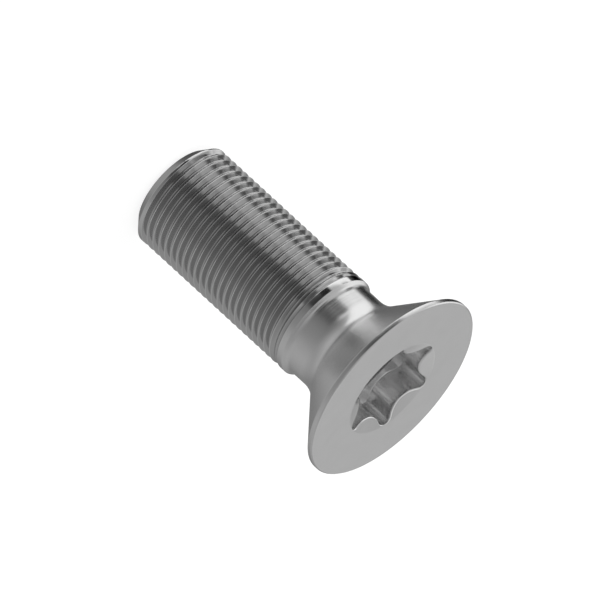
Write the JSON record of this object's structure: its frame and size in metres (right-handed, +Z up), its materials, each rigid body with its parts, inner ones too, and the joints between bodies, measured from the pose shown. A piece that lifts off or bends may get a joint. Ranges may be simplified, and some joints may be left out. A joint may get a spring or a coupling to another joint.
{
  "type": "countersunk screw",
  "caption": "Countersunk machine screw with a six-lobe drive socket, a waisted neck, a short collar and a fine right-hand thread, standing on its tip.",
  "frame": {"origin": "the middle of the flat end of the tip, on the floor", "axes": "+Z is up, along the screw's own axis from the tip to the head face; +X points through one lobe of the drive socket, and +Y is to the left of +X"},
  "size_m": [0.0256, 0.0256, 0.0373],
  "materials": {
    "steel": "smooth satin bare steel with bright edges"
  },
  "bodies": {
    "root": {"screw": "steel"}
  },
  "joints": []
}
